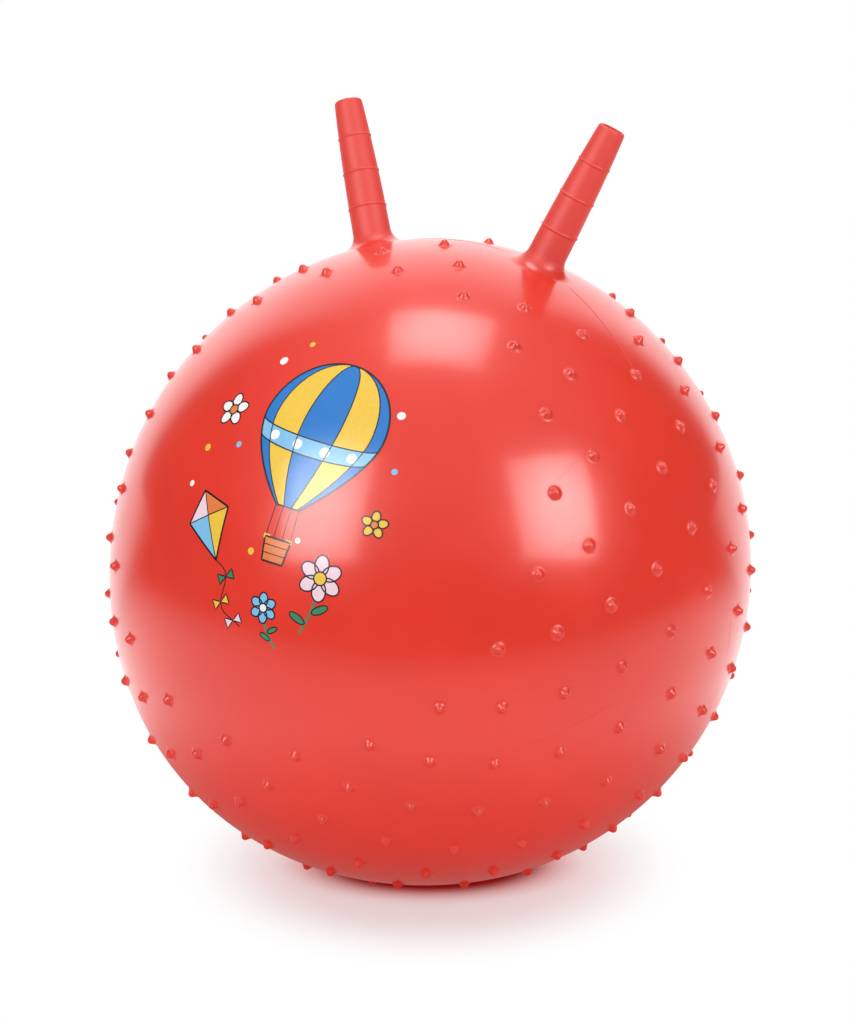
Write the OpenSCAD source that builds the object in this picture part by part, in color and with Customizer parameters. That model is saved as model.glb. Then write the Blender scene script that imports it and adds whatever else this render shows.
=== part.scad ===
// Hopper ball: an inflatable riding ball with two grip horns, a field of grip nubs and a valve.
// Z is up, the front panel faces -Y and the origin is the middle of the flat patch on the floor.

/* [Ball] */
// Outer diameter of the inflated ball
ball_d = 450; // [400:5:500]
// Thickness of the moulded skin
skin_wall = 1.2; // [1:0.1:2.5]
// Diameter of the patch that flattens on the floor
patch_d = 68; // [60:1:90]
// Height of the front panel's middle above the ball's equator, in degrees
panel_lift = 28; // [10:1:35]

/* [Horns] */
// Length of a horn from the skin to its tip
horn_length = 111; // [100:1:140]
// Diameter of a horn just above its root
horn_root_d = 27; // [24:0.5:32]
// Diameter of a horn at its tip
horn_tip_d = 19.6; // [17:0.2:24]
// Wall of the hollow horn
horn_wall = 2; // [1.5:0.1:3]
// Angle from the top of the ball to a horn's root
horn_spread = 17.2; // [14:0.1:24]
// Lean of a horn away from the ball's middle plane
horn_tilt = 21.7; // [14:0.1:28]
// Backward lean of the plane that both horns' roots lie in
horn_rake = 9; // [0:0.5:15]
// Backward lean of a horn from that plane
horn_back = 7; // [0:0.5:10]
// Bend of a horn at its root, each way
horn_flex = 20; // [5:1:20]
// Gap between a horn's root and the skin
horn_gap = 0.3; // [0.2:0.05:0.5]

/* [Horn details] */
// Number of raised rings on a horn
ring_count = 3; // [1:1:3]
// Distance from the skin to the first ring
ring_start = 31.5; // [26:0.5:34]
// Distance from ring to ring
ring_step = 26; // [20:0.5:28]
// Height of a ring above the horn
ring_height = 0.5; // [0.3:0.1:1]
// Width of a ring
ring_width = 1.8; // [1:0.1:3]
// Width of the rounded lip at the tip
lip_width = 2.4; // [1.6:0.1:3]
// Depth of the dished tip
dish_depth = 6; // [3:0.5:10]

/* [Nubs] */
// Height of a nub
nub_height = 4; // [3:0.1:6]
// Diameter of a nub where it meets the skin
nub_base_d = 9; // [7:0.5:11]
// Diameter of the ball that rounds a nub's tip
nub_tip_d = 3.6; // [2.4:0.1:4.4]
// Rings of nubs round the front panel
nub_rings = 12; // [4:1:12]
// Nubs in each ring
nubs_per_ring = 19; // [12:1:21]
// Angle from the panel's middle to the first ring
nub_first_ring = 48.5; // [44:0.5:52]
// Angle from ring to ring
nub_ring_step = 7.5; // [6.5:0.1:7.8]
// Turn of the rings about the panel's middle
nub_turn = -2; // [-9:0.5:9]
// Clear distance along the skin from the middle of a horn's root to the middle of a nub
nub_horn_room = 48; // [36:1:60]

/* [Valve] */
// Bore of the valve insert
valve_bore_d = 8; // [6:0.5:10]
// Outer diameter of the insert's barrel
valve_barrel_d = 16; // [14:0.5:20]
// Length of the insert's barrel inside the skin
valve_barrel_l = 11; // [8:0.5:16]
// Diameter of the insert's outer flange
valve_flange_d = 30; // [24:1:36]
// Height of the insert's outer flange over the skin
valve_flange_h = 1.4; // [1:0.1:2]
// Diameter of the plug's head
plug_head_d = 18; // [14:0.5:20]
// Thickness of the plug's head
plug_head_h = 2.2; // [1.5:0.1:4]
// Radial play of the plug's shank in the bore
plug_play = 0.08; // [0.03:0.01:0.15]

/* [Hidden] */
ring_nodes = [for (number = [1 : nub_rings]) str("nub_ring_", number)];
round_fn = 180;
small_fn = 48;
arc_step = 6;

skin_red = "#e23a34";
horn_red = "#e5403a";
insert_red = "#c92f2c";
plug_white = "#f2efe8";

ball_r = ball_d / 2;
patch_r = patch_d / 2;
centre_z = sqrt(ball_r * ball_r - patch_r * patch_r);

horn_root_r = horn_root_d / 2;
horn_tip_r = horn_tip_d / 2;
lip_r = lip_width / 2;
rim_margin = 1;
pivot_h = 8.6;
rim_h = pivot_h - horn_root_r * sin(horn_flex) - rim_margin;
neck_depth = 5;
neck_rim = 2.5;
neck_flare = 8;
neck_top_r = horn_root_r + neck_rim;
neck_foot_r = horn_root_r + neck_flare;
socket_r = horn_root_r + horn_gap;
breather_angle = 20;

nub_seat_gap = 0.02;
nub_floor_gap = 1;
nub_tip_steps = 4;

plug_seat_gap = 0.1;
plug_setback = 1;
plug_shank_l = valve_barrel_l - plug_setback;
plug_shank_r = valve_bore_d / 2 - plug_play;
plug_nose_h = 2;
plug_nose_r = plug_shank_r * 0.7;
plug_edge_r = plug_head_h * 0.35;
insert_sink = skin_wall + valve_barrel_l;
insert_edge = valve_flange_h * 0.5;
hole_play = 0.05;

// Radius of the horn at a distance above the skin: it swells gently, so it narrows fastest at the tip
function horn_r(a) = horn_root_r - (horn_root_r - horn_tip_r) * pow(a / horn_length, 2);

// Height of a raised ring's round back at a place across its width, from -1 to 1
function ring_bulge(s) = ring_height * (1 - s * s);

// Outer side of the horn, from its pivot to the lip
function horn_side() = concat(
    [[horn_r(pivot_h), pivot_h]],
    [
        for (k = [0 : ring_count - 1], s = [-6, -1, -0.6, -0.2, 0.2, 0.6, 1])
        let (a = ring_start + k * ring_step + s * ring_width / 2)
        [horn_r(a) + (abs(s) > 1 ? 0 : ring_bulge(s)), a]
    ]
);

// Round lip, from the horn's side over to the dish
function horn_lip() = [
    for (t = [0 : arc_step * 3 : 180])
    [horn_tip_r - lip_r + lip_r * cos(t), horn_length - lip_r + lip_r * sin(t)]
];

// Round root of a given radius, from the foot up to the pivot's height
function horn_root(r) = [
    for (t = [breather_angle : arc_step : 90 - arc_step / 2])
    [r * sin(t), pivot_h - r * cos(t)]
];

// Half section of a hollow horn, around its axis
function horn_section() = let (
    floor_a = horn_length - dish_depth,
    inner_r = horn_r(pivot_h) - horn_wall
) concat(
    horn_root(horn_r(pivot_h)),
    horn_side(),
    horn_lip(),
    [
        [horn_tip_r - lip_width, floor_a],
        [0, floor_a],
        [0, floor_a - horn_wall],
        [horn_r(floor_a) - horn_wall, floor_a - horn_wall],
        [horn_r(floor_a / 2) - horn_wall, floor_a / 2],
        [inner_r, pivot_h]
    ],
    reverse_list(horn_root(inner_r))
);

function reverse_list(points) = [for (i = [len(points) - 1 : -1 : 0]) points[i]];

// Direction of a nub from the ball's centre, from its angle to the panel's middle and its turn about it
function nub_direction(polar, turn) = let (
    side = -sin(turn) * sin(polar),
    rise = cos(turn) * sin(polar),
    ahead = cos(polar)
) [
    side,
    rise * sin(panel_lift) - ahead * cos(panel_lift),
    rise * cos(panel_lift) + ahead * sin(panel_lift)
];

// Direction of a horn's root from the ball's centre
function root_direction(side) = [
    side * sin(horn_spread),
    cos(horn_spread) * sin(horn_rake),
    cos(horn_spread) * cos(horn_rake)
];

// A nub is left out where it would reach the floor or crowd the root of a horn
function nub_fits(d) = let (
    tip_z = centre_z + (ball_r + nub_height) * d.z,
    horn_room = cos(nub_horn_room / ball_r * 180 / PI)
) tip_z > nub_floor_gap && d * root_direction(-1) < horn_room && d * root_direction(1) < horn_room;

// Places its children on the ball's centre with +Z along the front panel's middle
module from_panel() {
    translate([0, 0, centre_z])
        rotate([90 - panel_lift, 0, 0])
            children();
}

// Places its children on the skin at a horn's root with +Z along the horn; side is -1 left, 1 right
module at_horn(side) {
    translate([0, 0, centre_z])
        rotate([-horn_rake, 0, 0])
            rotate([0, side * horn_spread, 0])
                translate([0, 0, ball_r])
                    rotate([0, side * (horn_tilt - horn_spread), 0])
                        rotate([-horn_back, 0, 0])
                            children();
}

// Places its children on the skin at the valve, opposite the panel, with +Z pointing out
module at_valve() {
    from_panel()
        rotate([180, 0, 0])
            translate([0, 0, ball_r])
                children();
}

// One nub: a cone that runs smoothly into a ball-shaped tip, on the skin at z = 0
module nub() {
    base_r = nub_base_d / 2;
    tip_r = nub_tip_d / 2;
    tip_z = nub_height - tip_r;
    flank_end = acos(tip_r / norm([base_r, tip_z])) - atan2(tip_z, base_r);
    tip_arc = [for (k = [0 : nub_tip_steps]) flank_end + (90 - flank_end) * k / nub_tip_steps];
    foot = [[0, nub_seat_gap], [base_r, nub_seat_gap]];
    rotate_extrude($fn = small_fn / 2)
        polygon(concat(foot, [for (a = tip_arc) [tip_r * cos(a), tip_z + tip_r * sin(a)]]));
}

// Solid ball of a given radius with its underside cut flat at a given height
module flat_footed_ball(r, floor_z) {
    intersection() {
        translate([0, 0, centre_z])
            sphere(r, $fn = round_fn);
        translate([-ball_d, -ball_d, floor_z])
            cube([2 * ball_d, 2 * ball_d, 2 * ball_d]);
    }
}

// Thickened foot that carries a horn's root
module horn_neck(side) {
    at_horn(side)
        translate([0, 0, -neck_depth])
            cylinder(h = neck_depth + rim_h, r1 = neck_foot_r, r2 = neck_top_r, $fn = small_fn * 2);
}

module ball_skin() {
    color(skin_red)
        difference() {
            union() {
                flat_footed_ball(ball_r, 0);
                horn_neck(-1);
                horn_neck(1);
            }
            flat_footed_ball(ball_r - skin_wall, skin_wall);
            for (side = [-1, 1])
                at_horn(side)
                    translate([0, 0, pivot_h])
                        sphere(socket_r, $fn = small_fn * 2);
            at_valve()
                translate([0, 0, -insert_sink])
                    cylinder(h = 2 * insert_sink, d = valve_barrel_d + 2 * hole_play, $fn = small_fn);
        }
}

// One ring of nubs round the front panel, counted from 1; every second ring is turned by half a step
module nub_ring(number) {
    pitch = 360 / nubs_per_ring;
    polar = nub_first_ring + (number - 1) * nub_ring_step;
    stagger = (number + 1) % 2 / 2;
    color(skin_red)
        for (i = [0 : nubs_per_ring - 1]) {
            turn = nub_turn + (i + stagger) * pitch;
            if (nub_fits(nub_direction(polar, turn)))
                from_panel()
                    rotate([0, 0, turn])
                        rotate([-polar, 0, 0])
                            translate([0, 0, ball_r])
                                nub();
        }
}

module horn(side) {
    color(horn_red)
        at_horn(side)
            rotate_extrude($fn = small_fn * 2)
                polygon(horn_section());
}

module left_horn() {
    horn(-1);
}

module right_horn() {
    horn(1);
}

// Flange on the skin with a barrel through it, bored for the plug
module valve_insert() {
    color(insert_red)
        difference() {
            union() {
                difference() {
                    at_valve()
                        rotate_extrude($fn = small_fn * 2)
                            polygon([
                                [0, -valve_flange_h],
                                [valve_flange_d / 2, -valve_flange_h],
                                [valve_flange_d / 2, valve_flange_h - insert_edge],
                                [valve_flange_d / 2 - insert_edge, valve_flange_h],
                                [0, valve_flange_h]
                            ]);
                    translate([0, 0, centre_z])
                        sphere(ball_r, $fn = round_fn);
                }
                at_valve()
                    translate([0, 0, -insert_sink])
                        cylinder(h = insert_sink + valve_flange_h / 2, d = valve_barrel_d, $fn = small_fn);
            }
            at_valve()
                translate([0, 0, -2 * insert_sink])
                    cylinder(h = 4 * insert_sink, d = valve_bore_d, $fn = small_fn);
        }
}

// Stopper with a flat round-edged head and a tapered nose
module valve_plug() {
    head_z = valve_flange_h + plug_seat_gap;
    head_r = plug_head_d / 2;
    color(plug_white)
        at_valve()
            rotate_extrude($fn = small_fn * 2)
                polygon([
                    [0, -plug_shank_l - plug_nose_h],
                    [plug_nose_r, -plug_shank_l - plug_nose_h],
                    [plug_shank_r, -plug_shank_l],
                    [plug_shank_r, head_z],
                    [head_r - plug_edge_r, head_z],
                    [head_r, head_z + plug_edge_r],
                    [head_r, head_z + plug_head_h - plug_edge_r],
                    [head_r - plug_edge_r, head_z + plug_head_h],
                    [0, head_z + plug_head_h]
                ]);
}

ball_skin();
for (number = [1 : nub_rings])
    nub_ring(number);
left_horn();
right_horn();
valve_insert();
valve_plug();
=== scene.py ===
"""Dresses a packed hopper ball: skin, parting lines, grip nubs, horns, front print, valve and stage."""

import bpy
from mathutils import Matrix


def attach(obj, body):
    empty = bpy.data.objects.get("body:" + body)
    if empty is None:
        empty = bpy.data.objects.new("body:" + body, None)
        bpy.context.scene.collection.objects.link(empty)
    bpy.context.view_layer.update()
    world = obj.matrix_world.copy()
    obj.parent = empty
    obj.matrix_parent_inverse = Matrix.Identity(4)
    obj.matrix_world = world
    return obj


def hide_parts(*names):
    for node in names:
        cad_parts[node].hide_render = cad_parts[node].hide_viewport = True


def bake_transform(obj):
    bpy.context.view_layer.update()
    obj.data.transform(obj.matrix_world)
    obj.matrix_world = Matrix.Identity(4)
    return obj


bl_info = {
    "name": "Hopper Ball",
    "version": (1, 0, 0),
    "blender": (4, 5, 0),
    "location": "View3D > Sidebar > Hopper Ball",
    "description": "Builds a glossy hopper ball with bending horns around its packed solids",
    "category": "Add Mesh",
}

import math

import bmesh
import bpy
from bpy.props import FloatProperty, FloatVectorProperty, IntProperty, PointerProperty
from mathutils import Vector

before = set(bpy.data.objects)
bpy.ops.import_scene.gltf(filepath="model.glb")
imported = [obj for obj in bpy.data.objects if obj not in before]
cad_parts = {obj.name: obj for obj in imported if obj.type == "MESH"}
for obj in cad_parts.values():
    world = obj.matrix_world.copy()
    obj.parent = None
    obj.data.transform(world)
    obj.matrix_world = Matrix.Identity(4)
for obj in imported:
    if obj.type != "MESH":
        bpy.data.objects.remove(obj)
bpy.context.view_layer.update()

MM = 0.001
NEARLY_ZERO = 1e-9
NEARLY_UPRIGHT = 0.9
FULL_TURN = 2.0 * math.pi
SENSOR_HEIGHT = 36.0
RING_NODES = sorted((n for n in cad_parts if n.startswith("nub_ring_")), key=lambda n: int(n[9:]))


# Properties that a user would change

def length(name, description, millimetres):
    """A size that is kept in metres and given here in millimetres."""
    return FloatProperty(
        name=name, description=description, default=millimetres * MM, min=0.0, unit="LENGTH"
    )


def angle(name, description, degrees):
    """An angle that is kept in radians and given here in degrees."""
    return FloatProperty(name=name, description=description, default=math.radians(degrees), subtype="ANGLE")


def count(name, description, number):
    """A whole number of at least 1."""
    return IntProperty(name=name, description=description, default=number, min=1)


def amount(name, description, number):
    """A plain number that is never below 0."""
    return FloatProperty(name=name, description=description, default=number, min=0.0)


def colour(name, description, red, green, blue):
    """A colour given by its red, green and blue shares."""
    return FloatVectorProperty(
        name=name, description=description, default=(red, green, blue), subtype="COLOR", min=0.0, max=1.0
    )


class BallSettings(bpy.types.PropertyGroup):
    """Sizes and colour of the inflated skin."""
    diameter: length("Diameter", "Outer diameter of the inflated ball", 450)
    wall: length("Wall", "Thickness of the moulded skin", 1.2)
    patch: length("Floor patch", "Diameter of the patch that flattens on the floor", 68)
    panel_lift: angle("Panel lift", "Height of the front panel's middle above the equator", 28)
    crown_swell: length("Crown swell", "How far the top swells between the horns", 4.5)
    side_swell: length("Side swell", "How far the skin swells low at the front left", 6.3)
    swell_reach: angle("Swell reach", "Angle from the middle of a swell to its edge", 56)
    skin: colour("Skin", "Colour of the moulded skin", 0.75, 0.031, 0.014)
    gloss: amount("Gloss", "Roughness of the clear part of the skin's gloss", 0.13)
    haze: amount("Haze", "Roughness of the hazy part of the skin's gloss", 0.3)
    grip: amount("Grip", "Roughness of the matte horns", 0.56)


class SeamSettings(bpy.types.PropertyGroup):
    """Sizes of the fine raised parting lines."""
    width: length("Width", "Width of the main parting line", 1.3)
    height: length("Height", "Height of the main parting line", 0.22)
    turn: angle("Turn", "Turn of the side lines to the front, about a horn's root", 12)
    reach: angle("Reach", "Angle from a horn's root to the end of its side line", 30)
    faint_width: length("Faint width", "Width of the faint lower line", 0.9)
    faint_height: length("Faint height", "Height of the faint lower line", 0.1)


class NubSettings(bpy.types.PropertyGroup):
    """Sizes and spacing of the grip nubs."""
    height: length("Height", "Height of a nub", 4)
    width: length("Half width", "Distance from a nub's middle to where a third of its height is left", 3.1)
    foot: length("Foot", "Radius at which a nub's soft foot meets the skin", 6)
    per_ring: count("Nubs in a ring", "Nubs in each ring round the front panel", 19)
    first_ring: angle("First ring", "Angle from the panel's middle to the first ring", 48.5)
    ring_step: angle("Ring step", "Angle from ring to ring", 7.5)
    turn: angle("Turn", "Turn of the rings about the panel's middle", -2)
    horn_room: length("Horn room", "Distance along the skin from a horn's root to the nearest nub", 48)
    floor_gap: length("Floor gap", "Least height of a nub's tip above the floor", 1)
    gloss: amount("Gloss", "Roughness of the clear part of a nub's gloss", 0.32)
    haze: amount("Haze", "Roughness of the hazy part of a nub's gloss", 0.42)


class HornSettings(bpy.types.PropertyGroup):
    """Sizes of the two grip horns."""
    length: length("Length", "Length of a horn from the skin to its tip", 111)
    root: length("Root diameter", "Diameter of a horn just above its root", 27)
    tip: length("Tip diameter", "Diameter of a horn at its tip", 19.6)
    spread: angle("Spread", "Angle from the top of the ball to a horn's root", 17.2)
    tilt: angle("Tilt", "Lean of a horn away from the middle plane", 21.7)
    rake: angle("Rake", "Backward lean of the plane that both horns' roots lie in", 9)
    back: angle("Back", "Backward lean of a horn from that plane", 7)
    fillet: length("Root fillet", "Radius of the soft fillet at a horn's root", 10.5)
    ring_count: count("Rings", "Raised rings on a horn", 3)
    ring_start: length("First ring", "Distance from the skin to the first ring", 31.5)
    ring_step: length("Ring step", "Distance from ring to ring", 26)
    ring_height: length("Ring height", "Height of a ring above the horn", 0.55)
    ring_width: length("Ring width", "Width of a ring", 1.7)
    lip: length("Lip", "Width of the rounded lip at the tip", 2.4)
    tip_round: length("Tip rounding", "Radius of the tip's outer edge", 2)
    dish: length("Dish", "Depth of the dished tip", 6)
    bend_start: length("Bend start", "Height above the skin at which a horn starts to bend", 2)
    bend_end: length("Bend end", "Height above the skin at which a horn is past its bend", 30)


class PrintSettings(bpy.types.PropertyGroup):
    """Inks of the printed front panel."""
    film: length("Film", "Height of one ink film over the one below it", 0.04)
    outline: length("Outline", "Width of the dark outlines", 1.3)
    blue: colour("Blue", "Main blue ink", 0.012, 0.18, 0.56)
    sky: colour("Sky blue", "Light blue ink", 0.2, 0.5, 0.78)
    yellow: colour("Yellow", "Yellow ink", 0.83, 0.53, 0.05)
    pink: colour("Pink", "Pale pink ink", 0.84, 0.62, 0.7)
    orange: colour("Orange", "Orange ink", 0.75, 0.2, 0.05)
    green: colour("Green", "Green ink", 0.05, 0.24, 0.12)
    white: colour("White", "White ink", 0.86, 0.84, 0.83)
    dark: colour("Dark", "Dark outline ink", 0.012, 0.011, 0.02)


class ValveSettings(bpy.types.PropertyGroup):
    """Sizes and colours of the valve on the back."""
    flange: length("Flange diameter", "Diameter of the insert's flange on the skin", 30)
    flange_height: length("Flange height", "Height of the flange over the skin", 1.4)
    barrel: length("Barrel diameter", "Diameter of the insert's barrel", 16)
    barrel_length: length("Barrel length", "Length of the barrel behind the skin", 12.2)
    bore: length("Bore", "Diameter of the insert's bore", 8)
    plug_head: length("Plug head", "Diameter of the plug's head", 18)
    plug_height: length("Plug height", "Thickness of the plug's head", 2.2)
    plug_shank: length("Plug shank", "Length of the plug's shank below the flange's foot", 10)
    plug_play: length("Plug play", "Radial play of the shank in the bore", 0.08)
    insert: colour("Insert", "Colour of the valve insert", 0.6, 0.028, 0.022)
    plug: colour("Plug", "Colour of the valve plug", 0.8, 0.78, 0.72)


class StageSettings(bpy.types.PropertyGroup):
    """Camera, light and floor."""
    azimuth: angle("Azimuth", "Camera's turn about the ball", 31.2)
    elevation: angle("Elevation", "Camera's height angle", 16)
    distance: length("Distance", "Camera's distance from the ball's middle", 3000)
    focal: amount("Focal length", "Focal length in millimetres", 149.6)
    aim_side: length("Aim side", "Aim to the left of the ball's middle", 3.2)
    aim_rise: length("Aim rise", "Aim above the ball's middle", 37)
    softbox: amount("Softbox", "Radiance of the softboxes as the gloss mirrors them", 12)
    overhead: amount("Overhead", "Light on a level face from the panel overhead", 0.3)
    fill: amount("Fill", "Strength of the even room light", 1.0)
    dark_side: amount("Dark side", "Brightness of the room low behind the camera", 0.05)
    ceiling: amount("Ceiling", "Brightness of the ceiling as the gloss mirrors it", 0.75)
    backdrop: amount("Backdrop", "Brightness of the backdrop as the gloss mirrors it", 1.3)
    table: amount("Table", "Brightness of the white table as the gloss mirrors it", 1.4)
    # Painted shade: the floor's reflection by the ball is darkened to this level by a painted ramp
    painted_shade_table: amount("Shaded table", "Brightness of the table by the ball as the gloss mirrors it", 0.5)
    floor: colour("Floor", "Colour of the floor", 0.93, 0.93, 0.93)
    # Painted light: a red glow that the floor emits by the ball, standing in for light through the skin; it
    # also lights the ball's underside
    glow: colour("Glow", "Light that falls through the skin onto the floor by the ball", 0.14, 0.0, 0.0)


class HopperSettings(bpy.types.PropertyGroup):
    """All settings of the hopper ball."""
    ball: PointerProperty(type=BallSettings)
    seam: PointerProperty(type=SeamSettings)
    nubs: PointerProperty(type=NubSettings)
    horns: PointerProperty(type=HornSettings)
    front: PointerProperty(type=PrintSettings)
    valve: PointerProperty(type=ValveSettings)
    stage: PointerProperty(type=StageSettings)


# Shape of the inflated ball

def smooth_hump(share):
    """A smooth hump: 1 at a share of 0, falling to 0 at a share of 1 and beyond."""
    return 0.5 + 0.5 * math.cos(math.pi * min(1.0, share))


def side_directions(direction):
    """Two directions square to a direction and to each other."""
    helper = Vector((0.0, 0.0, 1.0))
    if abs(direction.z) > NEARLY_UPRIGHT:
        helper = Vector((1.0, 0.0, 0.0))
    first = direction.cross(helper).normalized()
    return first, direction.cross(first).normalized()


class BallShape:
    """The inflated skin as a radius in each direction from the ball's middle, with a flat floor patch."""

    SIDE_SWELL = Vector((-0.540, -0.543, -0.643)).normalized()
    FLOOR_SOFTNESS = 1.0 * MM

    def __init__(self, settings):
        ball = settings.ball
        horns = settings.horns
        self.radius = ball.diameter / 2
        self.middle = Vector((0.0, 0.0, math.sqrt(self.radius ** 2 - (ball.patch / 2) ** 2)))
        self.swell_reach = ball.swell_reach
        self.panel = Vector((0.0, -math.cos(ball.panel_lift), math.sin(ball.panel_lift)))
        self.panel_up = Vector((0.0, math.sin(ball.panel_lift), math.cos(ball.panel_lift)))
        self.crown = Vector((0.0, math.sin(horns.rake), math.cos(horns.rake)))
        self.swells = ((self.crown, ball.crown_swell), (self.SIDE_SWELL, ball.side_swell))

    def skin_radius(self, direction):
        """Distance from the middle to the skin, before the floor flattens it."""
        radius = self.radius
        for middle, height in self.swells:
            radius += height * smooth_hump(direction.angle(middle) / self.swell_reach)
        return radius

    def skin_point(self, direction, rise=0.0):
        """A point on the skin, or that much above it, kept off the floor's underside."""
        point = self.middle + direction * (self.skin_radius(direction) + rise)
        point.z = 0.5 * (point.z + math.hypot(point.z, self.FLOOR_SOFTNESS))
        return point

    def panel_direction(self, polar, turn):
        """The direction at an angle from the panel's middle, turned about it from straight up."""
        across = Vector((-math.sin(turn), 0.0, 0.0)) + self.panel_up * math.cos(turn)
        return self.panel * math.cos(polar) + across * math.sin(polar)

    def panel_point(self, across, up, rise):
        """The place on the skin that lies so far across and up from the panel's middle, along the skin."""
        reach = math.hypot(across, up)
        if reach < NEARLY_ZERO:
            return self.skin_point(self.panel, rise)
        polar = reach / self.radius
        sideways = (Vector((1.0, 0.0, 0.0)) * across + self.panel_up * up) / reach
        return self.skin_point(self.panel * math.cos(polar) + sideways * math.sin(polar), rise)


class HornShape:
    """One horn's place and profile; side is -1 for the left horn and 1 for the right one."""

    SETTLING_STEPS = 4

    def __init__(self, settings, side):
        horns = settings.horns
        self.horns = horns
        self.ball = BallShape(settings)
        plane_up = self.ball.crown
        outward = Vector((float(side), 0.0, 0.0))
        self.root_direction = outward * math.sin(horns.spread) + plane_up * math.cos(horns.spread)
        behind = Vector((0.0, plane_up.z, -plane_up.y))
        upright = outward * math.sin(horns.tilt) + plane_up * math.cos(horns.tilt)
        self.axis = upright * math.cos(horns.back) + behind * math.sin(horns.back)
        self.foot = self.ball.middle + self.root_direction * self.ball.radius
        self.across, self.along = side_directions(self.axis)

    def spoke(self, turn):
        """Direction out from the horn's axis, at a turn about it."""
        return self.across * math.cos(turn) + self.along * math.sin(turn)

    def radius(self, height):
        """Radius at a height above the foot: it narrows fastest towards the tip."""
        narrowing = (self.horns.root - self.horns.tip) / 2
        return self.horns.root / 2 - narrowing * (height / self.horns.length) ** 2

    def skin_height(self, turn, reach):
        """Height of the skin above the foot, along the horn, at a distance out from the horn's axis."""
        base = self.foot + self.spoke(turn) * reach
        height = 0.0
        for _ in range(self.SETTLING_STEPS):
            outward = base + self.axis * height - self.ball.middle
            excess = outward.length - self.ball.skin_radius(outward.normalized())
            height -= excess / outward.normalized().dot(self.axis)
        return height

    def point(self, turn, reach, height):
        """A place at a turn about the horn's axis, a distance out from it and a height above the foot."""
        return self.foot + self.spoke(turn) * reach + self.axis * height


# Mesh helpers

def make_piece(name, points, faces, material, sharp_angle=None, solid=True):
    """A smooth-shaded mesh piece of the object; the faces of a solid one are turned outward."""
    mesh = bpy.data.meshes.new(name)
    mesh.from_pydata([tuple(p) for p in points], [], faces)
    if mesh.validate(verbose=False):
        raise RuntimeError(f"{name} has bad faces")
    if solid:
        turned = bmesh.new()
        turned.from_mesh(mesh)
        bmesh.ops.recalc_face_normals(turned, faces=turned.faces[:])
        turned.to_mesh(mesh)
        turned.free()
    mesh.shade_smooth()
    if sharp_angle is not None:
        mesh.set_sharp_from_angle(angle=sharp_angle)
    mesh.materials.append(material)
    piece = bpy.data.objects.new(name, mesh)
    bpy.context.scene.collection.objects.link(piece)
    return piece


def ring_faces(first, second, closed=True):
    """Quads between two rows of point numbers."""
    steps = len(first) if closed else len(first) - 1
    return [
        (first[i], first[(i + 1) % len(first)], second[(i + 1) % len(second)], second[i])
        for i in range(steps)
    ]


def joined_rows(rows, closed=True):
    """Quads between each row of point numbers and the next."""
    faces = []
    for first, second in zip(rows, rows[1:]):
        faces += ring_faces(first, second, closed)
    return faces


def fan_faces(middle, row):
    """Triangles between one point number and a closed row of them."""
    return [(middle, row[i], row[(i + 1) % len(row)]) for i in range(len(row))]


def add_row(points, places):
    """Adds places to the points and gives the row of their numbers."""
    start = len(points)
    points += places
    return list(range(start, len(points)))


def even_turns(steps):
    """Even turns all the way round a circle."""
    return [FULL_TURN * i / steps for i in range(steps)]


def lathe(profile, origin, axis, segments, hollow=False):
    """Points and faces of a solid of revolution from (reach, height) pairs.

    The pairs run from end to end on the axis, or all the way round the section of a hollow solid."""
    across, along = side_directions(axis)
    spokes = [across * math.cos(turn) + along * math.sin(turn) for turn in even_turns(segments)]
    points = []
    faces = []
    rows = []
    for reach, height in profile:
        used = spokes[:1] if reach < NEARLY_ZERO else spokes
        rows.append(add_row(points, [origin + spoke * reach + axis * height for spoke in used]))
    following = rows[1:] + rows[:1] if hollow else rows[1:]
    for first, second in zip(rows, following):
        if len(first) == 1:
            faces += fan_faces(first[0], second)
        elif len(second) == 1:
            faces += fan_faces(second[0], first)
        else:
            faces += ring_faces(first, second)
    return points, faces


def rounded(reach, height, radius, start, end, steps=5):
    """Profile points of a rounded corner about a middle, between two angles in degrees."""
    turns = [math.radians(start + (end - start) * i / steps) for i in range(steps + 1)]
    return [(reach + radius * math.cos(t), height + radius * math.sin(t)) for t in turns]


# Materials

PVC_IOR = 1.5
INK_IOR = 1.5
PLASTIC_IOR = 1.46
PLAIN_SPECULAR = 0.5
CLEAR_SHARE = 0.55
MATTE_RAMP = 0.6
SCUFF_DIRECTION = Vector((0.795, -0.469, 0.397)).normalized()
SCUFF_REACH = (25.0 * MM, 45.0 * MM)
SCRATCH_SCALE = 40.0
SCRATCH_WIDTH = 0.012
SCRATCH_TURN = (0.4, 0.9, 0.3)
SCRATCH_STRETCH = (1.0, 0.28, 1.0)
SCRATCH_ROUGHNESS = 0.1
SCRATCH_DEPTH = 0.05 * MM


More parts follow.
